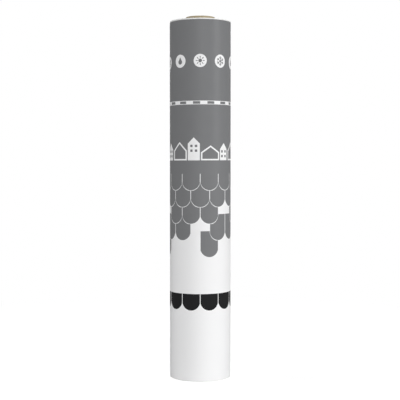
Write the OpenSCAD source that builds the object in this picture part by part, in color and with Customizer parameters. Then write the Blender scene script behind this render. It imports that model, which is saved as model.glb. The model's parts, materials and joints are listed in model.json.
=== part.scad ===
// Roll of roofing felt: bitumen felt wound on a cardboard core and held in a paper wrapper.
// It stands on its lower end. The origin is the middle of that end, and Z runs up the roll's axis.

/* [Felt] */
// Width of the felt, which is the length of the roll
felt_width = 1000; // [300:10:1500]
// Outside diameter of the wound felt
felt_d = 170.8; // [100:0.2:400]
// Thickness of one turn of felt
felt_t = 1.2; // [0.8:0.1:5]
// Width of the crease between two turns at the ends of the roll
crease_w = 0.3; // [0.1:0.05:0.6]
// Depth of that crease
crease_h = 0.4; // [0.1:0.1:2]
// How far the lowest turn sits below the outer one at the upper end
turn_drop = 0.6; // [0:0.1:3]

/* [Core] */
// Bore of the cardboard core
core_bore_d = 76; // [40:1:150]
// Wall of the core
core_wall = 2.5; // [1.5:0.1:12]
// How far the core stands out of the upper end of the felt
core_stand = 12.5; // [0:0.5:60]
// Bevel on the core's cut edges
core_bevel = 0.4; // [0.1:0.1:0.6]
// Play between the core and the first turn of felt
core_play = 0.1; // [0.05:0.05:0.5]

/* [Wrapper] */
// Thickness of the paper
wrap_t = 0.2; // [0.1:0.05:1]
// Felt left bare at each end of the roll
wrap_margin = 3.2; // [0:0.1:60]
// Width of the lap where the wrapper's two ends are glued together
wrap_lap = 40; // [10:1:120]
// Play between the outer turn of felt and the wrapper
wrap_play = 0.1; // [0.05:0.05:0.5]

/* [Hidden] */
$fn = 180;

felt_r = felt_d / 2;
core_bore_r = core_bore_d / 2;
core_r = core_bore_r + core_wall;
core_length = felt_width + core_stand;

// The felt starts on the core and is wound outwards in whole turns
felt_bore_r = core_r + core_play;
turn_count = max(1, round((felt_r - felt_bore_r) / felt_t));
turn_pitch = (felt_r - felt_bore_r) / turn_count;
crease_half = crease_w / 2;

// Two waves, in degrees for each turn, that set the turns' edges a little out of line
slow_wave = 37;
quick_wave = 137.5;

// The wrapper's lap lies at the back, on the side of +Y
wrap_bore_r = felt_r + wrap_play;
wrap_r = wrap_bore_r + wrap_t;
lap_angle = wrap_lap / wrap_r * 180 / PI;
back = 90;

// Outer radius of a turn, counted inwards from the outside
function turn_r(i) = felt_r - i * turn_pitch;

// How far a turn's upper edge sits below that of the outer turn
function drop(i) = turn_drop * (2 - cos(i * slow_wave) - cos(i * quick_wave)) / 4;

// Flat edge of a turn, from its outer side to its inner side, with half a crease on each side
function turn_edge(i, z) = [[turn_r(i) - crease_half, z], [turn_r(i + 1) + crease_half, z]];

// Upper end of the roll from the outside inwards, with a crease inside each turn
function upper_end() = [
    [felt_r, felt_width - crease_h],
    for (i = [0 : turn_count - 1]) each [
        each turn_edge(i, felt_width - drop(i)),
        [turn_r(i + 1), felt_width - max(drop(i), drop(i + 1)) - crease_h]
    ]
];

// Lower end from the bore outwards, where the turns are pressed level by the floor
function lower_end() = [
    [felt_bore_r, crease_h],
    for (i = [turn_count - 1 : -1 : 0]) each [
        [turn_r(i + 1) + crease_half, 0],
        [turn_r(i) - crease_half, 0],
        [turn_r(i), crease_h]
    ]
];

// The wound felt, one turned solid whose turns show at both ends
module felt_roll() {
    color("gainsboro")
        rotate_extrude()
            polygon([each upper_end(), each lower_end()]);
}

// Wall of the core in section, with its cut edges bevelled
module core_section() {
    polygon([
        [core_bore_r + core_bevel, 0],
        [core_r - core_bevel, 0],
        [core_r, core_bevel],
        [core_r, core_length - core_bevel],
        [core_r - core_bevel, core_length],
        [core_bore_r + core_bevel, core_length],
        [core_bore_r, core_length - core_bevel],
        [core_bore_r, core_bevel]
    ]);
}

// Spiral-wound cardboard tube, level with the felt below and standing out of it above
module core_tube() {
    color("tan")
        rotate_extrude()
            core_section();
}

// Paper in section, from an inner to an outer radius, along the stretch of felt that it covers
module paper_section(inner_r, outer_r) {
    translate([inner_r, wrap_margin])
        square([outer_r - inner_r, felt_width - 2 * wrap_margin]);
}

// Printed paper, once round the felt, with its outer end glued over its inner one
module wrapper() {
    color("darkgray") {
        rotate_extrude()
            paper_section(wrap_bore_r, wrap_r);
        rotate([0, 0, back - lap_angle / 2])
            rotate_extrude(angle = lap_angle)
                paper_section(wrap_r - wrap_t / 2, wrap_r + wrap_t);
    }
}

felt_roll();
core_tube();
wrapper();
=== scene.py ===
# %% [markdown]
# # A roll of roofing felt
#
# The roll is three things: a long strip of felt wound on itself, the cardboard tube that it is wound on,
# and a printed paper wrapper that keeps it shut. The solids of all three are ready at their real size.
# This lesson makes one finished piece for each solid, gives it a material, and lights it as in a studio.

# %% Load the solids
import json
import math

import bmesh
import bpy
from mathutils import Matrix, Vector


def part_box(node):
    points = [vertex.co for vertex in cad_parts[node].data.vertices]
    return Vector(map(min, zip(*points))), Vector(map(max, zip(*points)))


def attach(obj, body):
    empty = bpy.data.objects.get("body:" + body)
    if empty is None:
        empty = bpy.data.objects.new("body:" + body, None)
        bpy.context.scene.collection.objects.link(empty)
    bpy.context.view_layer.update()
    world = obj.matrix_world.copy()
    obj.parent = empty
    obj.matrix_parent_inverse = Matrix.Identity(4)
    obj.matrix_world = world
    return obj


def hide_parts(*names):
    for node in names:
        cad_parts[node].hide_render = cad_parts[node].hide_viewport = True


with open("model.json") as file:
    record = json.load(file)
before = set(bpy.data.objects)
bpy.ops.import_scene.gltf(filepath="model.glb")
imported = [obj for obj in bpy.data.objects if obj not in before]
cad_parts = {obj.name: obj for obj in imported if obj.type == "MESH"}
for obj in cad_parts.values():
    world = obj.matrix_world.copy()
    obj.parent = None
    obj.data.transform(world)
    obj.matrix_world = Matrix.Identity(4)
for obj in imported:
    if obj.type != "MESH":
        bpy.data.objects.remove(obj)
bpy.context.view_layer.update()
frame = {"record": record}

# %% [markdown]
# ## Sizes
#
# A piece has to lie where its solid lies, so its main sizes are read from the solids and not typed again.
# The bore of the core is the one of them that a box can't give, and the record's list of mounts holds it.

# %% Read the sizes
MM = 0.001

felt_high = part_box("felt_roll")[1]
core_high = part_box("core_tube")[1]
paper_low, paper_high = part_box("wrapper")
core_bore = next(m["dims"]["r_mm"] * MM for m in frame["record"]["mounts"] if m["name"] == "core_bore")
print("felt radius", round(felt_high.x, 4), "width", round(felt_high.z, 4), "core bore", core_bore)

# %% [markdown]
# ## Sums on wires
#
# Shapes and materials below are both made of nodes, and many nodes only add or multiply. Placed and
# linked one by one, they take several lines for each sum. Here a Wire stands for one output of a node,
# and Python's operators on it add the Math nodes, so that a formula reads as a formula. The bar, |, gives
# the larger of two values, which means "or" for masks of 0 and 1, and a comparison gives 1 or 0.

# %% Wires
def operator(operation, swapped=False):
    """A method for an operator of Wire, which adds one Math node."""

    def combine(wire, other):
        values = (other, wire) if swapped else (wire, other)
        return wire.graph.math(operation, *values)

    return combine


class Wire:
    """One output of a node, which can be used in sums."""

    def __init__(self, graph, socket):
        self.graph = graph
        self.socket = socket

    def __getitem__(self, name):
        """Another output of the same node."""
        return Wire(self.graph, self.socket.node.outputs[name])

    def __abs__(self):
        return self.graph.math("ABSOLUTE", self)

    __add__ = operator("ADD")
    __radd__ = operator("ADD", swapped=True)
    __sub__ = operator("SUBTRACT")
    __rsub__ = operator("SUBTRACT", swapped=True)
    __mul__ = operator("MULTIPLY")
    __rmul__ = operator("MULTIPLY", swapped=True)
    __truediv__ = operator("DIVIDE")
    __rtruediv__ = operator("DIVIDE", swapped=True)
    __mod__ = operator("FLOORED_MODULO")
    __rmod__ = operator("FLOORED_MODULO", swapped=True)
    __or__ = operator("MAXIMUM")
    __ror__ = operator("MAXIMUM", swapped=True)
    __lt__ = operator("LESS_THAN")
    __gt__ = operator("GREATER_THAN")


combining = [method for method in vars(Wire).values() if getattr(method, "__name__", "") == "combine"]
print("operators of a wire, with their reflected forms:", len(combining))

# %% [markdown]
# ### Graphs
#
# A Graph fills one node tree. Its add() makes a node of any kind, with the settings first, because some
# of them change which sockets the node has. Its other methods are short ways to nodes that are used
# often.

# %% Graphs
class Graph:
    """A node tree that is filled one node at a time."""

    def __init__(self, tree):
        self.tree = tree
        tree.nodes.clear()

    def add(self, kind, settings=None, inputs=None, output=0):
        """Makes a node from its settings and the values or wires of its sockets. A list feeds one socket."""
        node = self.tree.nodes.new(kind)
        for name, value in (settings or {}).items():
            setattr(node, name, value)
        for key, value in (inputs or {}).items():
            for part in value if isinstance(value, list) else [value]:
                self.feed(node.inputs[key], part)
        return Wire(self, node.outputs[output]) if node.outputs else node

    def feed(self, socket, value):
        """Links a wire to a socket, or sets the socket's own value."""
        if isinstance(value, Wire):
            self.tree.links.new(value.socket, socket)
        else:
            socket.default_value = value

    def math(self, operation, *values):
        return self.add("ShaderNodeMath", {"operation": operation}, dict(enumerate(values)))

    def vector(self, x, y, z):
        return self.add("ShaderNodeCombineXYZ", inputs={"X": x, "Y": y, "Z": z})

    def split(self, vector):
        """The outputs X, Y and Z of a vector."""
        return self.add("ShaderNodeSeparateXYZ", inputs={"Vector": vector})

    def distance(self, x, y):
        """How far a place lies from the middle."""
        return self.math("SQRT", x * x + y * y)

    def ramp(self, value, start, end):
        """Rises smoothly from 0 to 1 as the value goes from start to end."""
        inputs = {"Value": value, "From Min": start, "From Max": end}
        return self.add("ShaderNodeMapRange", {"interpolation_type": "SMOOTHSTEP"}, inputs)


print("methods of a graph:", ", ".join(name for name in vars(Graph) if not name.startswith("_")))

# %% [markdown]
# ## From a tree to a piece
#
# A loop in Python could place every vertex of a wound thing. Geometry Nodes follow the same rule, but
# they can also be opened in Blender's editor and changed there. A tree here has one named input for each
# size, so its rule and its sizes stay apart.

# %% New trees
SOCKETS = {float: "NodeSocketFloat", int: "NodeSocketInt", bpy.types.Material: "NodeSocketMaterial"}


def new_tree(name, values):
    """A tree with one named input for each value, and the wire of its inputs."""
    tree = bpy.data.node_groups.new(name, "GeometryNodeTree")
    for label, value in values.items():
        tree.interface.new_socket(label, in_out="INPUT", socket_type=SOCKETS[type(value)])
    tree.interface.new_socket("Piece", in_out="OUTPUT", socket_type="NodeSocketGeometry")
    graph = Graph(tree)
    return graph, graph.add("NodeGroupInput")


print("inputs of a tree can be:", ", ".join(kind.__name__ for kind in SOCKETS))

# %% [markdown]
# ### Kept as a mesh
#
# A tree runs as a modifier, but an export wants plain meshes. So each tree is run once, its result is
# kept as a mesh, and the modifier goes. The normals are then turned outwards, which works because every
# piece here is a closed shell. An edge that doesn't join exactly two faces would be a hole or a fold, so
# these are counted.

# %% Run a tree
def check_shell(mesh):
    """Turns the normals outwards, and counts triangles and faulty edges."""
    shell = bmesh.new()
    shell.from_mesh(mesh)
    bmesh.ops.recalc_face_normals(shell, faces=shell.faces)
    faulty = sum(not edge.is_manifold for edge in shell.edges)
    triangles = sum(len(face.verts) - 2 for face in shell.faces)
    shell.to_mesh(mesh)
    shell.free()
    print(mesh.name, "has", triangles, "triangles and", faulty, "faulty edges")


def run_tree(name, tree, values):
    """Runs the tree with these values and keeps the result as a plain mesh."""
    empty = bpy.data.meshes.new(name)
    piece = bpy.data.objects.new(name, empty)
    bpy.context.scene.collection.objects.link(piece)
    modifier = piece.modifiers.new("Rule", "NODES")
    modifier.node_group = tree
    for socket in tree.interface.items_tree:
        if socket.in_out == "INPUT":
            modifier[socket.identifier] = values[socket.name]
    depsgraph = bpy.context.evaluated_depsgraph_get()
    made = bpy.data.meshes.new_from_object(piece.evaluated_get(depsgraph), depsgraph=depsgraph)
    piece.modifiers.remove(modifier)
    piece.data = made
    bpy.data.meshes.remove(empty)
    made.name = name
    check_shell(made)
    return piece


# %% [markdown]
# ## Materials begin the same way
#
# Each finish is one Principled shader. What changes over the surface is worked out by nodes from the
# piece's own coordinates, and what is the same all over is a plain value on the shader.

# %% New materials
def new_material(name):
    material = bpy.data.materials.new(name)
    material.use_nodes = True
    return material, Graph(material.node_tree)


def finish_material(graph, **sockets):
    """Ends a material: the sockets' names are written with _ for each space."""
    inputs = {name.replace("_", " "): value for name, value in sockets.items()}
    shader = graph.add("ShaderNodeBsdfPrincipled", inputs=inputs)
    graph.add("ShaderNodeOutputMaterial", inputs={"Surface": shader})


def place(graph):
    """Where a point of the piece lies, in metres."""
    return graph.add("ShaderNodeTexCoord", output="Object")


print("materials before the first finish:", len(bpy.data.materials))

# %% [markdown]
# ### Colour, noise and relief
#
# Fleece, bitumen, board and paper are uneven in the same three ways: in their colour, in cloudy patches
# or fibres, and in a fine relief. One helper for each keeps the materials short. The Mix node has a set
# of sockets for every type of data, so those for colours are found by their numbers. It takes a share
# below 0 as 0 and above 1 as 1.

# %% Helpers for finishes
MIX_SHARE, MIX_FIRST, MIX_SECOND = 0, 6, 7
MIX_RESULT = 2


def mix(graph, share, first, second):
    """The first colour where share is 0, the second where it is 1."""
    first, second = ((*c, 1.0) if isinstance(c, tuple) else c for c in (first, second))
    inputs = {MIX_SHARE: share, MIX_FIRST: first, MIX_SECOND: second}
    return graph.add("ShaderNodeMix", {"data_type": "RGBA"}, inputs, MIX_RESULT)


def above(value, low, gain):
    """How far a value lies above low, times gain."""
    return (value - low) * gain


def noise(graph, point, size, detail=2.0, stretch=(1.0, 1.0, 1.0)):
    """Cloudy noise from 0 to 1 whose blotches are about size metres across, longer where stretched."""
    scale = tuple(1 / (size * s) for s in stretch)
    scaled = graph.add("ShaderNodeVectorMath", {"operation": "MULTIPLY"}, {0: point, 1: scale})
    return graph.add("ShaderNodeTexNoise", inputs={"Vector": scaled, "Scale": 1.0, "Detail": detail})


def bump(graph, height, depth):
    """A normal for relief that is depth metres deep where height goes from 0 to 1."""
    inputs = {"Height": height, "Distance": depth, "Strength": 1.0}
    return graph.add("ShaderNodeBump", inputs=inputs)


print("sockets for colours of the Mix node:", MIX_FIRST, MIX_SECOND)

# %% [markdown]
# ## The felt's two finishes
#
# Roofing felt is bitumen between two thin fleeces. On the ends of a roll the cut bitumen shows as dark
# bands, and the fleece as pale lines between them. One material could paint both by radius, but the bands
# are faces of their own here, so each finish is a material. Fleece is a mat of short fibres that lie
# every way. Two noises, one stretched upright and one stretched level, look like them when the larger of
# the two is taken.

# %% Fleece
FLEECE_DULL = (0.78, 0.78, 0.77)
FLEECE_PALE = (0.93, 0.93, 0.92)
FLEECE_FIBRE = 0.5 * MM
FLEECE_STRETCH = 6.0
FLEECE_PATCH = 14 * MM
FIBRE_SHARE = 0.7
FLEECE_RELIEF = 0.12 * MM


def make_fleece():
    material, graph = new_material("fleece")
    point = place(graph)
    upright = noise(graph, point, FLEECE_FIBRE, detail=3.0, stretch=(1.0, 1.0, FLEECE_STRETCH))
    level = noise(graph, point, FLEECE_FIBRE, detail=3.0, stretch=(FLEECE_STRETCH, FLEECE_STRETCH, 1.0))
    fibres = upright | level
    patches = noise(graph, point, FLEECE_PATCH)
    shade = above(fibres * FIBRE_SHARE + patches * (1 - FIBRE_SHARE), 0.35, gain=2.0)
    finish_material(
        graph,
        Base_Color=mix(graph, shade, FLEECE_DULL, FLEECE_PALE),
        Roughness=0.92,
        Specular_IOR_Level=0.2,
        Normal=bump(graph, fibres, FLEECE_RELIEF),
    )
    return material


fleece = make_fleece()
print("nodes in the fleece:", len(fleece.node_tree.nodes))

# %% [markdown]
# ### Bitumen
#
# Fresh bitumen is nearly black, but the ends of a roll are dusty, and some turns hold more dust than
# others. A noise over the place would run across the turns. So this one runs over the number of the turn,
# which the mesh will carry as an attribute, and a finer noise adds grit.

# %% Bitumen
BITUMEN_DARK = (0.018, 0.018, 0.019)
BITUMEN_WORN = (0.05, 0.049, 0.047)
BITUMEN_DUST = (0.30, 0.29, 0.27)
BITUMEN_GRIT = 0.6 * MM
BITUMEN_PATCH = 9 * MM
BITUMEN_RELIEF = 0.15 * MM
TURNS_PER_DUST = 2.5
SPECK_FROM = 0.62
SPECK_DUST = 0.3


def make_bitumen():
    material, graph = new_material("bitumen")
    point = place(graph)
    grit = noise(graph, point, BITUMEN_GRIT, detail=4.0)
    patches = noise(graph, point, BITUMEN_PATCH)
    turn = graph.add("ShaderNodeAttribute", {"attribute_name": "turn"}, output="Fac")
    inputs = {"W": turn, "Scale": 1 / TURNS_PER_DUST, "Detail": 2.0}
    rings = graph.add("ShaderNodeTexNoise", {"noise_dimensions": "1D"}, inputs)
    bare = mix(graph, patches, BITUMEN_DARK, BITUMEN_WORN)
    dust = above(rings, 0.42, gain=2.2) + (grit > SPECK_FROM) * SPECK_DUST
    finish_material(
        graph,
        Base_Color=mix(graph, dust, bare, BITUMEN_DUST),
        Roughness=0.45 + grit * 0.35,
        Specular_IOR_Level=0.4,
        Normal=bump(graph, grit, BITUMEN_RELIEF),
    )
    return material


bitumen = make_bitumen()
print("nodes in the bitumen:", len(bitumen.node_tree.nodes))

# %% [markdown]
# ## The wound felt
#
# One strip of felt is wound from the core to the outside, clockwise when seen from above, so on the ends
# of the roll its edge is one long spiral. Rings inside each other would be simpler, but they have no free
# end, and it is the free end that lifts the paper into a ridge. A spiral has no single radius: the
# solid's is the middle one of the outer turn, so the free end lies half a thickness further out.

# %% Sizes of the winding
FELT_END = math.radians(140)
FELT_T = 1.2 * MM
CORE_GAP = 0.1 * MM
felt_sizes = {
    "Inner radius": core_high.x + CORE_GAP,
    "Outer radius": felt_high.x + FELT_T / 2,
    "Turn": FELT_T,
    "Width": felt_high.z,
    "Crease half width": 0.18 * MM,
    "Crease depth": 1.0 * MM,
    "Drop": 0.6 * MM,
    "Slow wave": math.radians(37),
    "Quick wave": math.radians(137.5),
    "End angle": FELT_END,
    "Points in a turn": 96,
    "Fleece": fleece,
    "Bitumen": bitumen,
}
felt_wall = felt_sizes["Outer radius"] - felt_sizes["Inner radius"]
print("layers of felt from core to paper:", round(felt_wall / FELT_T, 1))

# %% [markdown]
# ### The path of the felt's edge
#
# The Spiral node gives the path. Neighbouring turns are welded later, which works only if their points
# lie side by side, so the length is rounded to whole steps. The hundredth of a step that is added keeps
# the node, which cuts off decimals, from losing the last one. Each point keeps the number of its turn,
# counted from outside.

# %% Path of the felt
TURN = 2 * math.pi
SPARE_STEP = 0.01


def store(graph, curve, name, value):
    """Keeps a value at each point of a curve, as an attribute."""
    settings = {"data_type": "FLOAT", "domain": "POINT"}
    inputs = {"Geometry": curve, "Name": name, "Value": value}
    return graph.add("GeometryNodeStoreNamedAttribute", settings, inputs)


def spiral_line(graph, given):
    """The middle of the felt's edge, from the core out to its free end, numbered by turns from outside."""
    inner = given["Inner radius"] + given["Turn"] / 2
    outer = given["Outer radius"] - given["Turn"] / 2
    steps = graph.math("ROUND", (outer - inner) / given["Turn"] * given["Points in a turn"])
    turns = (steps + SPARE_STEP) / given["Points in a turn"]
    inputs = {
        "Resolution": given["Points in a turn"],
        "Rotations": turns,
        "Start Radius": inner,
        "End Radius": outer,
        "Height": 0.0,
        "Reverse": False,
    }
    spiral = graph.add("GeometryNodeCurveSpiral", inputs=inputs)
    angle = graph.vector(0.0, 0.0, given["End angle"] + turns * TURN)
    turned = graph.add("GeometryNodeTransform", inputs={"Geometry": spiral, "Rotation": angle})
    factor = graph.add("GeometryNodeSplineParameter", output="Factor")
    return store(graph, turned, "turn", (1 - factor) * turns)


print("the felt ends at", round(math.degrees(FELT_END)), "degrees, counted from +X")

# %% [markdown]
# ### The upper end
#
# Across one turn the felt's edge is flat, with half a crease on each side. Four points are enough for
# that, and they are put in place by their index. Swept along the spiral they give a ribbon, and because
# each turn is as wide as the step to the next one, the turns meet in their creases and are welded there.

# %% Upper end
PROFILE_POINTS = 4
WELD = 0.05 * MM


def edge_profile(graph, given):
    """Four points across one turn: crease, flat, flat, crease. Swept along the spiral, +Y points down."""
    line = graph.add("GeometryNodeCurvePrimitiveLine")
    inputs = {"Curve": line, "Count": PROFILE_POINTS}
    points = graph.add("GeometryNodeResampleCurve", {"mode": "COUNT"}, inputs)
    from_middle = graph.add("GeometryNodeInputIndex") - (PROFILE_POINTS - 1) / 2
    in_crease = abs(from_middle) > 1
    across = given["Turn"] / 2 - given["Crease half width"] * (1 - in_crease)
    point = graph.vector(graph.math("SIGN", from_middle) * across, given["Crease depth"] * in_crease, 0.0)
    return graph.add("GeometryNodeSetPosition", inputs={"Geometry": points, "Position": point})


def sweep(graph, path, profile):
    """Draws a profile along a level path. A closed profile gets its two ends filled."""
    path = graph.add("GeometryNodeSetCurveNormal", {"mode": "Z_UP"}, {"Curve": path})
    inputs = {"Curve": path, "Profile Curve": profile, "Fill Caps": True}
    return graph.add("GeometryNodeCurveToMesh", inputs=inputs)


def weld(graph, mesh):
    return graph.add("GeometryNodeMergeByDistance", inputs={"Geometry": mesh, "Distance": WELD})


def upper_end(graph, given):
    ribbon = sweep(graph, spiral_line(graph, given), edge_profile(graph, given))
    lift = graph.vector(0.0, 0.0, given["Width"])
    raised = graph.add("GeometryNodeTransform", inputs={"Geometry": ribbon, "Translation": lift})
    return weld(graph, raised)


print("points closer than", WELD / MM, "mm are welded")

# %% [markdown]
# ### A closed shell
#
# A sheet with a thickness, wound up whole, would hide dozens of walls that nobody sees. So only what
# shows is made. The lower end is the upper one mirrored, and the open edges, inside and outside, are
# drawn out into upright walls that reach it. Last, the turns at the upper end are set a little out of
# line, as on any roll that was wound by machine. The lower end stays level, because it stands on the
# floor.

# %% Shell of the felt
def mirrored_height(graph, given):
    """A point at the same distance from the lower end as this one has from the upper end."""
    at = graph.split(graph.add("GeometryNodeInputPosition"))
    return graph.vector(at["X"], at["Y"], given["Width"] - at["Z"])


def closed_shell(graph, given, upper):
    faces_at_edge = graph.add("GeometryNodeInputMeshEdgeNeighbors")
    inputs = {"Mesh": upper, "Selection": faces_at_edge < 2, "Offset Scale": 0.0}
    walls = graph.add("GeometryNodeExtrudeMesh", {"mode": "EDGES"}, inputs)
    mirrored = mirrored_height(graph, given)
    inputs = {"Geometry": walls, "Selection": walls["Top"], "Position": mirrored}
    upper_and_walls = graph.add("GeometryNodeSetPosition", inputs=inputs)
    lower = graph.add("GeometryNodeSetPosition", inputs={"Geometry": upper, "Position": mirrored})
    joined = graph.add("GeometryNodeJoinGeometry", inputs={"Geometry": [upper_and_walls, lower]})
    return weld(graph, joined)


def stored(graph, name):
    """Reads an attribute that store() kept."""
    return graph.add("GeometryNodeInputNamedAttribute", {"data_type": "FLOAT"}, {"Name": name})


def uneven_turns(graph, given, shell):
    """Lets the turns of the upper end sit lower than the outer one, by up to Drop, in a sum of two waves."""
    turn = stored(graph, "turn")
    slow = graph.math("COSINE", turn * given["Slow wave"])
    quick = graph.math("COSINE", turn * given["Quick wave"])
    fall = graph.vector(0.0, 0.0, given["Drop"] * (2 - (slow + quick)) / -4)
    height = graph.split(graph.add("GeometryNodeInputPosition"))["Z"]
    inputs = {"Geometry": shell, "Selection": height > given["Width"] / 2, "Offset": fall}
    return graph.add("GeometryNodeSetPosition", inputs=inputs)


print("turns sit out of line by up to", round(felt_sizes["Drop"] / MM, 2), "mm")

# %% [markdown]
# ### Shading, and the felt itself
#
# A wound wall should look round and a crease sharp. The angle between two faces tells them apart, so
# every edge with a larger angle is shaded sharp. The angle of a face also tells its finish: what faces up
# or down was cut and is bitumen, and the steep sides of the creases are fleece, as the walls are.

# %% Felt
SHARP_FROM = 12
CUT_FACING = 0.7


def sharp_by_angle(graph, mesh, degrees):
    """Smooth shading, apart from edges where two faces meet at more than this angle."""
    smooth = graph.add("GeometryNodeSetShadeSmooth", {"domain": "FACE"}, {"Geometry": mesh})
    sharp = graph.add("GeometryNodeInputMeshEdgeAngle") > math.radians(degrees)
    inputs = {"Geometry": smooth, "Selection": sharp, "Shade Smooth": False}
    return graph.add("GeometryNodeSetShadeSmooth", {"domain": "EDGE"}, inputs)


def give_material(graph, mesh, material, selection=True):
    realized = graph.add("GeometryNodeRealizeInstances", inputs={"Geometry": mesh})
    inputs = {"Geometry": realized, "Selection": selection, "Material": material}
    return graph.add("GeometryNodeSetMaterial", inputs=inputs)


def highest(piece):
    """The highest X, Y and Z of a piece, in metres."""
    return [round(max(axis), 4) for axis in zip(*piece.bound_box)]


def build_felt(values):
    graph, given = new_tree("Wound felt", values)
    shell = closed_shell(graph, given, upper_end(graph, given))
    shaded = sharp_by_angle(graph, uneven_turns(graph, given, shell), SHARP_FROM)
    facing = graph.split(graph.add("GeometryNodeInputNormal"))["Z"]
    covered = give_material(graph, shaded, given["Fleece"])
    cut = give_material(graph, covered, given["Bitumen"], abs(facing) > CUT_FACING)
    graph.add("NodeGroupOutput", inputs={"Piece": cut})
    return run_tree("wound_felt", graph.tree, values)


felt_piece = build_felt(felt_sizes)
print("felt reaches", highest(felt_piece))

# %% [markdown]
# ## The core's board
#
# The core is a tube wound from strips of grey-brown board, laid on in a helix. What tells it from a plain
# tube is fine: the joint of the outer strip, which climbs round it, and the plies that show on its cut
# ends. Grooves in the mesh would need many faces for so little, so both are masks in the material. A
# point's height and angle together say how far it has climbed, and its radius says which ply it is in.

# %% Plies and joint
BOARD_WALL = core_high.x - core_bore
STRIP_HEIGHT = 118 * MM
JOINT_HALF = 0.0035
PLIES = 7


def board_joint(graph, at):
    """1 along the joint of the outer strip."""
    angle = graph.math("ARCTAN2", at["Y"], at["X"])
    climb = (at["Z"] / STRIP_HEIGHT + angle / TURN) % 1
    return abs(climb - 0.5) < JOINT_HALF


def board_plies(graph, at):
    """A wave from 0 to 1 for each ply of the wall."""
    depth = (graph.distance(at["X"], at["Y"]) - core_bore) / BOARD_WALL
    return graph.math("SINE", depth * PLIES * TURN) * 0.5 + 0.5


print("wall of the core:", round(BOARD_WALL / MM, 2), "mm, in", PLIES, "plies")

# %% [markdown]
# ### Board
#
# Board is pulped paper: dull, patchy and full of pale fibres. Its colours are laid over each other as a
# painter would do it, from the patches up to the dark joint, with one Mix node for each. The plies show
# only where the surface faces up or down, and the joint only where it doesn't.

# %% Board
BOARD_DARK = (0.40, 0.33, 0.215)
BOARD_PALE = (0.51, 0.43, 0.285)
FIBRE_PALE = (0.60, 0.52, 0.365)
PLY_SHADE = (0.24, 0.20, 0.14)
JOINT_SHADE = (0.20, 0.165, 0.11)
BOARD_FIBRE = 0.9 * MM
BOARD_PATCH = 22 * MM
BOARD_RELIEF = 0.15 * MM
END_FACING = 0.9
PLY_STRENGTH = 0.45
JOINT_STRENGTH = 0.55


def make_board():
    material, graph = new_material("core_board")
    point = place(graph)
    at = graph.split(point)
    facing = graph.split(graph.add("ShaderNodeNewGeometry", output="Normal"))["Z"]
    on_end = abs(facing) > END_FACING
    plies = on_end * board_plies(graph, at)
    joint = board_joint(graph, at) * (1 - on_end)
    fibres = noise(graph, point, BOARD_FIBRE, detail=4.0, stretch=(1.0, 1.0, 4.0))
    patches = noise(graph, point, BOARD_PATCH, detail=3.0)
    colour = mix(graph, patches, BOARD_DARK, BOARD_PALE)
    colour = mix(graph, above(fibres, 0.45, gain=0.9), colour, FIBRE_PALE)
    colour = mix(graph, plies * PLY_STRENGTH, colour, PLY_SHADE)
    colour = mix(graph, joint * JOINT_STRENGTH, colour, JOINT_SHADE)
    relief = fibres * 0.3 + plies * 0.5 - joint
    finish_material(
        graph,
        Base_Color=colour,
        Roughness=0.88,
        Specular_IOR_Level=0.25,
        Normal=bump(graph, relief, BOARD_RELIEF),
    )
    return material


board = make_board()
print("nodes in the board:", len(board.node_tree.nodes))

# %% [markdown]
# ## The core
#
# A cylinder with a thinner one cut out of it by a Boolean would give the tube, and its bevels would come
# after. Here the section of the wall, a tall thin rectangle with its corners cut off, is swept round a
# circle instead: the bevels come with it, and the mesh is all clean strips.

# %% Sweep the core
core_sizes = {
    "Middle radius": core_bore + BOARD_WALL / 2,
    "Wall": BOARD_WALL,
    "Length": core_high.z,
    "Bevel": 0.4 * MM,
    "Points in a turn": 192,
    "Board": board,
}


def upright_profile(graph, thickness, low, height):
    """A thin upright rectangle. Swept along a level path, its +Y points down."""
    inputs = {"Width": thickness, "Height": height}
    flat = graph.add("GeometryNodeCurvePrimitiveQuadrilateral", {"mode": "RECTANGLE"}, inputs)
    lift = graph.vector(0.0, (low + height / 2) * -1, 0.0)
    return graph.add("GeometryNodeTransform", inputs={"Geometry": flat, "Translation": lift})


def build_core(values):
    graph, given = new_tree("Board tube", values)
    inputs = {"Resolution": given["Points in a turn"], "Radius": given["Middle radius"]}
    circle = graph.add("GeometryNodeCurvePrimitiveCircle", {"mode": "RADIUS"}, inputs)
    square = upright_profile(graph, given["Wall"], 0.0, given["Length"])
    inputs = {"Curve": square, "Radius": given["Bevel"], "Count": 1, "Limit Radius": True}
    bevelled = graph.add("GeometryNodeFilletCurve", {"mode": "POLY"}, inputs)
    shaded = sharp_by_angle(graph, sweep(graph, circle, bevelled), SHARP_FROM)
    made = give_material(graph, shaded, given["Board"])
    graph.add("NodeGroupOutput", inputs={"Piece": made})
    return run_tree("board_core", graph.tree, values)


core_piece = build_core(core_sizes)
print("core reaches", highest(core_piece))

# %% [markdown]
# ## The print
#
# The wrapper is printed grey above and white below, with a plain design that runs all round: weather
# signs, a measuring ring, a street of houses, and rows of round-ended tiles that thin out over the white.
# An image could be laid on the paper, but close up its edges would blur. So each motif is a mask of 0 or
# 1, with hard edges at any distance. It is made from the place on the flat sheet: how far along it from
# the middle of the front, which is an attribute of the mesh, and how high.

# %% Helpers for masks
paper_radius = (paper_high.x - paper_low.x) / 2
ROUND = TURN * paper_radius
TIMES_ROUND = 3
SHARE = ROUND / TIMES_ROUND


def between(value, low, high):
    return (value > low) * (value < high)


def any_of(masks):
    """1 where at least one of the masks is 1."""
    first, *others = masks
    for mask in others:
        first = first | mask
    return first


def repeated(along):
    """Folds the way round into equal shares, so that a motif made once shows several times."""
    return (along + SHARE / 2) % SHARE - SHARE / 2


print("once round the paper is", round(ROUND, 4), "m, and motifs repeat every", round(SHARE, 4), "m")

# %% [markdown]
# ### The weather signs
#
# Each sign is cut out of a white disc of radius 1 and is then scaled to its size on the sheet, so the
# numbers in the signs are shares of that radius. A sign with several rays is drawn once, in one slice of
# the circle, and the angle is folded into that slice.

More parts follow.
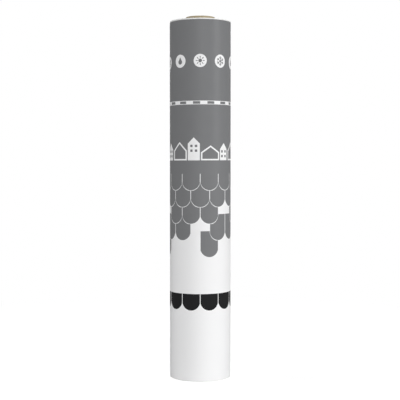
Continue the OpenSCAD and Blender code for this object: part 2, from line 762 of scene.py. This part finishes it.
# %% Signs
def disc(x, y, radius):
    return (x * x + y * y) < radius * radius


def slices(graph, x, y, count):
    """How far out a point lies along the nearest of several rays, and how far beside it."""
    far = graph.distance(x, y)
    wide = TURN / count
    angle = (graph.math("ARCTAN2", x, y) + wide / 2) % wide - wide / 2
    return graph.math("COSINE", angle) * far, abs(graph.math("SINE", angle) * far)


def drop_sign(graph, x, y, tip=0.62, slope=0.5, belly=0.36, belly_below=0.14):
    cone = (abs(x) < (tip - y) * slope) * between(y, 0.0, tip)
    return disc(x, y + belly_below, belly) | cone


def sun_sign(graph, x, y, rays=8, face=0.28, half_ray=0.06, ray_start=0.4, ray_end=0.68):
    out, beside = slices(graph, x, y, rays)
    return disc(x, y, face) | ((beside < half_ray) * between(out, ray_start, ray_end))


def flake_sign(graph, x, y, arms=6, arm_end=0.72, half_arm=0.055, fork=0.36, half_fork=0.08, fork_end=0.2):
    out, beside = slices(graph, x, y, arms)
    arm = (beside < half_arm) * (out < arm_end)
    branch = (abs(out - beside - fork) < half_fork) * (beside < fork_end)
    return arm | branch


SIGNS = (drop_sign, sun_sign, flake_sign)
print("signs round the roll:", TIMES_ROUND * len(SIGNS))

# %% [markdown]
# ### The row of signs
#
# The discs stand side by side at one height, and the middle one of each three faces the front or one of
# the two places a third of the way round. A sign that is taken away from its disc leaves the grey
# showing.

# %% Row of signs
SIGN_HEIGHT = 884 * MM
SIGN_RADIUS = 18 * MM
SIGN_STEP = SHARE / len(SIGNS)


def signs_mask(graph, along, height):
    """White discs with a sign cut out of each."""
    side = repeated(along)
    y = (height - SIGN_HEIGHT) / SIGN_RADIUS
    masks = []
    for number, sign in enumerate(SIGNS):
        x = (side - (number - 1) * SIGN_STEP) / SIGN_RADIUS
        masks.append(disc(x, y, 1.0) * (1 - sign(graph, x, y)))
    return any_of(masks)


print("signs stand", round(SIGN_STEP / MM, 1), "mm apart")

# %% [markdown]
# ### The measuring ring
#
# Two thin lines run round the roll with white blocks between them, like the scale of a map. The blocks
# are 20 mm long, which is a true scale on a roll of this size.

# %% Ring
RING_HEIGHT = 770 * MM
RING_HALF = 5 * MM
RING_LINE = 1.5 * MM
RING_BLOCK = 20 * MM


def ring_mask(along, height):
    from_middle = abs(height - RING_HEIGHT)
    line = between(from_middle, RING_HALF - RING_LINE, RING_HALF)
    block = (along / (2 * RING_BLOCK) % 1) < 0.5
    return line | (block * (from_middle < RING_HALF))


print("blocks in the ring:", round(ROUND / RING_BLOCK / 2))

# %% [markdown]
# ### The street of houses
#
# A house is two walls under a gable. Its edge is found with one trick: how far a point lies outside is
# the larger of its distances past the wall and past the roof, so a negative value is inside, and the
# values just below 0 are an outline. Every second house is filled, with windows left grey.

# %% Houses
STREET_FLOOR = 612 * MM
OUTLINE = 4 * MM
WINDOW = 6.5 * MM
HOUSES = (
    {"middle": -62 * MM, "width": 48 * MM, "wall": 27 * MM, "pitch": 1.0, "filled": False},
    {"middle": -18 * MM, "width": 34 * MM, "wall": 46 * MM, "pitch": 1.0, "filled": True},
    {"middle": 29 * MM, "width": 54 * MM, "wall": 22 * MM, "pitch": 0.7, "filled": False},
    {"middle": 73 * MM, "width": 28 * MM, "wall": 31 * MM, "pitch": 1.2, "filled": True},
)


def windows_mask(x, y, wall):
    """Two rows of two square windows below the top of the wall."""
    column = abs(abs(x) - WINDOW) < WINDOW / 2
    rows = [abs(y - wall + WINDOW * (1 + 2 * row)) < WINDOW / 2 for row in range(2)]
    return column * any_of(rows)


def house_mask(along, y, middle, width, wall, pitch, filled):
    x = along - middle
    past_wall = abs(x) - width / 2
    past_roof = (y - wall + past_wall * pitch) / math.hypot(1, pitch)
    outside = past_wall | past_roof
    inside = (outside < 0) * (y > 0)
    if filled:
        return inside * (1 - windows_mask(x, y, wall))
    return inside * ((outside > -OUTLINE) | (y < OUTLINE))


def street_mask(along, height):
    side = repeated(along)
    return any_of([house_mask(side, height - STREET_FLOOR, **house) for house in HOUSES])


print("houses round the roll:", TIMES_ROUND * len(HOUSES))

# %% [markdown]
# ### One tile
#
# Beaver-tail tiles are strips with a round lower end, hung in rows that are set off by half a tile. The
# first rows of the print are full, and each row after them has fewer. Which tiles are left out follows
# from their row and their number, because a rule with no chance in it prints the same sheet every time.

# %% Tile
TILE_WIDTH = 53 * MM
TILE_ROW = 46 * MM
TILE_LINE = 1.8 * MM
TILE_PATTERN = 10
TILE_STRIDE = 3
FULL_ROWS = 2
LEFT_OUT = 2.6


def tile_at(graph, along, row):
    """The number of the tile at this place in its row, and how far the place is from the tile's middle."""
    column = along / TILE_WIDTH + row / 2
    number = graph.math("FLOOR", column)
    return number, abs(column - number - 0.5) * TILE_WIDTH


def above_tail(graph, aside, below):
    """How far a place, given from the tile's middle and from the row's top, lies above the round end."""
    radius = TILE_WIDTH / 2
    return TILE_ROW - radius + graph.math("SQRT", radius * radius - aside * aside) - below


def is_kept(number, row):
    """1 for the tiles that are printed: of every ten, each row leaves out LEFT_OUT more, rounded."""
    order = (number * TILE_STRIDE + row * TILE_STRIDE) % TILE_PATTERN
    return order > (row - FULL_ROWS + 1) * LEFT_OUT - 0.5


def off_joint(aside):
    """0 on the white line between two tiles of a row."""
    return aside < (TILE_WIDTH - TILE_LINE) / 2


print("tiles in a row round the roll:", round(ROUND / TILE_WIDTH, 2))

# %% [markdown]
# ### The rows of tiles
#
# A point in a row lies on that row's tile if it is above the tile's round end. Otherwise the next row
# shows, whose tiles start where the round ends begin. A white line follows every end, half of it on each
# side of the true edge. One more row, in black, closes the design further down.

# %% Tiles
TILE_TOP = 575 * MM
BLACK_TOP = 244 * MM


def tiles_mask(graph, along, height):
    """1 where the paper stays white among the tiles, and everywhere below them."""
    down = (TILE_TOP - height) / TILE_ROW
    row = graph.math("FLOOR", down)
    below = (down - row) * TILE_ROW
    number, aside = tile_at(graph, along, row)
    tail = above_tail(graph, aside, below)
    kept = is_kept(number, row)
    tile = kept * (tail > TILE_LINE / 2) * off_joint(aside)
    next_number, next_aside = tile_at(graph, along, row + 1)
    next_top = below > TILE_ROW - TILE_WIDTH / 2
    uncovered = 1 - kept * (tail > -TILE_LINE / 2)
    next_tile = is_kept(next_number, row + 1) * off_joint(next_aside) * next_top * uncovered
    return (height < TILE_TOP) * (1 - (tile | next_tile))


def black_row_mask(graph, along, height):
    below = BLACK_TOP - height
    aside = tile_at(graph, along, 0)[1]
    return (below > 0) * (above_tail(graph, aside, below) > 0) * off_joint(aside)


print("the tiles start", round(TILE_TOP, 3), "m up, and the black row", round(BLACK_TOP, 3), "m up")

# %% [markdown]
# ## The printed paper
#
# The ink is a little glossier than the paper, and neither is quite even: the grey is a shade cloudy and
# has fine specks where the fibres took less ink, and the paper lies in very shallow waves over the felt.
# These keep the large plain areas from looking like plastic. The sheet was also put on a little askew, so
# its print climbs by 2 mm on the way round, which shows where the ends meet.

# %% Inks
PAPER_WHITE = (0.88, 0.88, 0.885)
PRINT_GREY = (0.192, 0.195, 0.200)
PRINT_BLACK = (0.018, 0.018, 0.019)
PAPER_FIBRE = 0.7 * MM
INK_CLOUD = 30 * MM
SKEW = 2 * MM / ROUND


def toned(colour, factor):
    return tuple(channel * factor for channel in colour)


def print_masks(graph, along, height):
    """Where the sheet is white, and where it is black."""
    motifs = (
        signs_mask(graph, along, height),
        ring_mask(along, height),
        street_mask(along, height),
        tiles_mask(graph, along, height),
    )
    return any_of(motifs), black_row_mask(graph, along, height)


def print_colour(graph, point, fibres, white, black):
    cloud = noise(graph, point, INK_CLOUD, detail=4.0)
    ink = mix(graph, cloud, toned(PRINT_GREY, 0.97), toned(PRINT_GREY, 1.03))
    speckled = mix(graph, above(fibres, 0.6, gain=0.9), ink, toned(PRINT_GREY, 1.6))
    bare = mix(graph, fibres, toned(PAPER_WHITE, 0.975), PAPER_WHITE)
    return mix(graph, black, mix(graph, white, speckled, bare), PRINT_BLACK)


print("the print climbs by", round(SKEW * ROUND / MM, 2), "mm on its way round")

# %% [markdown]
# ### Gloss and waves
#
# A print's gloss could be set by a low roughness, but then the whole surface mirrors the studio. A thin
# coat over a dull base keeps the ink's own grey and adds only a soft shine, and its weight can follow the
# print.

# %% Paper
INK_GLOSS = 0.16
PAPER_GLOSS = 0.05
GLOSS_ROUGHNESS = 0.28
PAPER_WAVE = 70 * MM
PAPER_RELIEF = 0.25 * MM
FIBRE_RELIEF = 0.012


def make_paper():
    material, graph = new_material("printed_paper")
    point = place(graph)
    along = graph.add("ShaderNodeAttribute", {"attribute_name": "along"}, output="Fac")
    height = graph.split(point)["Z"] - along * SKEW
    white, black = print_masks(graph, along, height)
    fibres = noise(graph, point, PAPER_FIBRE, detail=3.0, stretch=(1.0, 1.0, 2.0))
    waves = noise(graph, point, PAPER_WAVE, detail=1.0, stretch=(1.0, 1.0, 2.5))
    finish_material(
        graph,
        Base_Color=print_colour(graph, point, fibres, white, black),
        Roughness=0.52 + white * 0.08 + above(fibres, 0.5, gain=0.1),
        Specular_IOR_Level=0.0,
        Coat_Weight=PAPER_GLOSS + (1 - white) * (INK_GLOSS - PAPER_GLOSS),
        Coat_Roughness=GLOSS_ROUGHNESS,
        Normal=bump(graph, waves + fibres * FIBRE_RELIEF, PAPER_RELIEF),
    )
    return material


paper = make_paper()
print("nodes in the print:", len(paper.node_tree.nodes))

# %% [markdown]
# ## The wrapper
#
# The paper goes once round the felt, anticlockwise when seen from above, and its outer end is glued over
# its inner one at the back. A cylinder a little wider than the felt would show neither the lap nor the
# felt's end, and those tell paper from paint. So the sheet follows the felt's outer turn, which grows by
# one thickness each turn.

# %% Sizes of the wrapper
PAPER_T = 0.2 * MM
LAP = 40 * MM / paper_radius
paper_sizes = {
    "Felt radius": felt_sizes["Outer radius"],
    "Turn": felt_sizes["Turn"],
    "Felt end": FELT_END,
    "Play": 0.05 * MM,
    "Thickness": PAPER_T,
    "Low": paper_low.z,
    "Height": paper_high.z - paper_low.z,
    "First angle": math.pi / 2 - LAP / 2,
    "Lap": LAP,
    "Climb": 8 * MM / paper_radius,
    "Skew": SKEW,
    "Points": 300,
    "Paper": paper,
}
print("length of the sheet:", round((TURN + LAP) * paper_radius, 3), "m")

# %% [markdown]
# ### The path of the paper
#
# Where the felt ends there is a step. There the paper is pulled straight from the felt's edge until it
# touches the turn below, which leaves a soft ridge. Shrinkwrap would press it into the step instead, so
# the path is reckoned point by point from the angle. Each point also keeps how far along the sheet it
# lies, for the print.

# %% Path of the paper
FRONT = 1.5 * math.pi
LAP_LIFT = 1.2


def felt_reach(graph, given, angle):
    """How far out the felt holds the paper at this angle, over the step at the felt's end too."""
    back = graph.math("FRACT", (given["Felt end"] - angle) / TURN)
    spiral = given["Felt radius"] - given["Turn"] * (1 - back)
    below = given["Felt radius"] - given["Turn"]
    touch = graph.math("ARCCOSINE", below / given["Felt radius"])
    straight = below / graph.math("COSINE", (touch - back * TURN) | 0.0)
    return spiral | straight


def paper_path(graph, given):
    """The middle of the sheet: its outer end climbs over its inner one by LAP_LIFT thicknesses."""
    line = graph.add("GeometryNodeCurvePrimitiveLine")
    inputs = {"Curve": line, "Count": given["Points"]}
    points = graph.add("GeometryNodeResampleCurve", {"mode": "COUNT"}, inputs)
    turned = graph.add("GeometryNodeSplineParameter", output="Factor") * (TURN + given["Lap"])
    angle = turned + given["First angle"]
    over = graph.ramp(turned, TURN - given["Climb"], TURN)
    reach = felt_reach(graph, given, angle) + given["Play"] + given["Thickness"] * (0.5 + over * LAP_LIFT)
    point = graph.vector(graph.math("COSINE", angle) * reach, graph.math("SINE", angle) * reach, 0.0)
    placed = graph.add("GeometryNodeSetPosition", inputs={"Geometry": points, "Position": point})
    return store(graph, placed, "along", (angle - FRONT) * paper_radius)


print("the outer end stands", round(LAP_LIFT * PAPER_T / MM, 2), "mm further out than the inner one")

# %% [markdown]
# ### The sheet itself
#
# A thin upright rectangle swept along the path is the sheet, with its thickness and its four cut edges.
# It is then set askew: each point rises by its way along the sheet, just as the print does.

# %% Wrap the paper
PAPER_SHARP_FROM = 30


def build_wrapper(values):
    graph, given = new_tree("Wrapped paper", values)
    profile = upright_profile(graph, given["Thickness"], given["Low"], given["Height"])
    wrapped = sweep(graph, paper_path(graph, given), profile)
    rise = graph.vector(0.0, 0.0, stored(graph, "along") * given["Skew"])
    askew = graph.add("GeometryNodeSetPosition", inputs={"Geometry": wrapped, "Offset": rise})
    made = give_material(graph, sharp_by_angle(graph, askew, PAPER_SHARP_FROM), given["Paper"])
    graph.add("NodeGroupOutput", inputs={"Piece": made})
    return run_tree("printed_wrapper", graph.tree, values)


paper_piece = build_wrapper(paper_sizes)
print("paper reaches", highest(paper_piece))

# %% [markdown]
# ## The camera
#
# The camera stands 2.7 m in front of the roll, a little above its middle, and looks slightly down. From
# nearer, with a wider lens, the roll would taper downwards in the picture. From here its sides are almost
# upright.

# %% Camera
CAMERA_PLACE = (-0.001, -2.7123, 0.6077)
CAMERA_DOWN = 0.0397
SENSOR = 36.0
LENS = 86.31

camera = bpy.data.objects.new("camera", bpy.data.cameras.new("camera"))
bpy.context.scene.collection.objects.link(camera)
camera.location = CAMERA_PLACE
camera.rotation_euler = (math.pi / 2 - CAMERA_DOWN, 0.0, 0.0)
camera.data.sensor_width = SENSOR
camera.data.lens = LENS
bpy.context.scene.camera = camera
print("camera looks down by", round(math.degrees(CAMERA_DOWN), 2), "degrees")

# %% [markdown]
# ## Floor, backdrop and light
#
# The roll stands on a white floor in front of white. A floor that is only lit would come out grey, with an
# edge against the backdrop, and more light would wash out the roll. So the camera sees the floor with some
# glow added, and it fades to plain white away from the roll. The roll's shadow stays, but it is faint.

# %% Floor material
FADE_FROM = 0.5
FADE_TO = 1.6
FLOOR_COLOUR = (0.72, 0.72, 0.72, 1.0)
FLOOR_GLOW = 0.55


def seen_directly(graph):
    """1 for rays from the camera, also by way of gloss or glass, and 0 for light on its way to a surface."""
    rays = graph.add("ShaderNodeLightPath")
    return rays["Is Camera Ray"] | rays["Is Glossy Ray"] | rays["Is Transmission Ray"]


def make_floor_material():
    material, graph = new_material("studio_floor")
    at = graph.split(place(graph))
    direct = seen_directly(graph)
    lit = graph.add("ShaderNodeBsdfDiffuse", inputs={"Color": FLOOR_COLOUR})
    glow = graph.add("ShaderNodeEmission", inputs={"Strength": direct * FLOOR_GLOW})
    near = graph.add("ShaderNodeAddShader", inputs={0: lit, 1: glow})
    white = graph.add("ShaderNodeEmission", inputs={"Strength": 1.0})
    share = graph.ramp(graph.distance(at["X"], at["Y"]), FADE_FROM, FADE_TO) * direct
    shader = graph.add("ShaderNodeMixShader", inputs={0: share, 1: near, 2: white})
    graph.add("ShaderNodeOutputMaterial", inputs={"Surface": shader})
    return material


floor_material = make_floor_material()
print("the floor is plain white from", FADE_TO, "m out")

# %% [markdown]
# ### The floor itself
#
# One square is enough, large enough that its edge lies far behind the roll. It belongs to the studio and
# not to the roll.

# %% Floor
FLOOR_HALF = 25.0

floor_mesh = bpy.data.meshes.new("floor")
corners = [(x * FLOOR_HALF, y * FLOOR_HALF, 0.0) for x, y in ((-1, -1), (1, -1), (1, 1), (-1, 1))]
floor_mesh.from_pydata(corners, [], [(0, 1, 2, 3)])
floor_mesh.materials.append(floor_material)
floor = bpy.data.objects.new("floor", floor_mesh)
bpy.context.scene.collection.objects.link(floor)
print("floor is", 2 * FLOOR_HALF, "m wide")

# %% [markdown]
# ### The backdrop
#
# The world is white for the camera, which makes the backdrop. As a light it is weak, because even light
# from all round would leave a white roll without edges in front of white. Blender's default view softens
# bright tones, so that white comes out grey. The Standard view shows colours as they are written.

# %% World
WORLD_LIGHT = 0.17
WHITE = (1.0, 1.0, 1.0, 1.0)


def make_world():
    world = bpy.data.worlds.new("studio")
    world.use_nodes = True
    graph = Graph(world.node_tree)
    seen = seen_directly(graph)
    strength = seen + (1 - seen) * WORLD_LIGHT
    backdrop = graph.add("ShaderNodeBackground", inputs={"Color": WHITE, "Strength": strength})
    graph.add("ShaderNodeOutputWorld", inputs={"Surface": backdrop})
    return world


bpy.context.scene.world = make_world()
bpy.context.scene.view_settings.view_transform = "Standard"
print("the world lights the roll with strength", WORLD_LIGHT)

# %% [markdown]
# ### Lamps
#
# Four soft lamps stand round the roll: in front, to its right, behind it and to its left. Where the
# surface turns away from one lamp and doesn't yet face the next, it darkens, and that draws the roll's
# sides. Sun lamps light the whole height evenly, where an area lamp close by would leave the ends of a
# long roll darker.

# %% Lamps
LAMP_SPREAD = 30
LAMPS = (
    {"name": "front_lamp", "aside": 5, "up": 25, "strength": 1.53},
    {"name": "right_lamp", "aside": 65, "up": 15, "strength": 1.27},
    {"name": "back_lamp", "aside": 180, "up": 10, "strength": 1.5},
    {"name": "left_lamp", "aside": -95, "up": 45, "strength": 0.78},
)


def add_lamp(name, aside, up, strength):
    """A large soft lamp, far away: aside is its angle from straight in front of the roll, to the right."""
    data = bpy.data.lights.new(name, "SUN")
    data.energy = strength
    data.angle = math.radians(LAMP_SPREAD)
    lamp = bpy.data.objects.new(name, data)
    bpy.context.scene.collection.objects.link(lamp)
    lamp.rotation_euler = (math.radians(90 - up), 0.0, math.radians(aside))


for lamp in LAMPS:
    add_lamp(**lamp)
    print(lamp["name"], "shines from", lamp["aside"], "degrees aside and", lamp["up"], "degrees up")

# %% [markdown]
# ## Hand the pieces over
#
# Each piece stands for one solid, which is then hidden.
# Nothing on a roll moves by itself, so all pieces ride on the one body.

# %% Join the pieces to the frame
for piece, node, slot in (
    (felt_piece, "felt_roll", "felt"),
    (core_piece, "core_tube", "core_board"),
    (paper_piece, "wrapper", "wrapper_paper"),
):
    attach(piece, "root")
    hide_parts(node)
    print(piece.name, "stands for", node)

# %% [markdown]
# ### The size
#
# A finish may stand a little proud of its solid, but the object keeps its size.
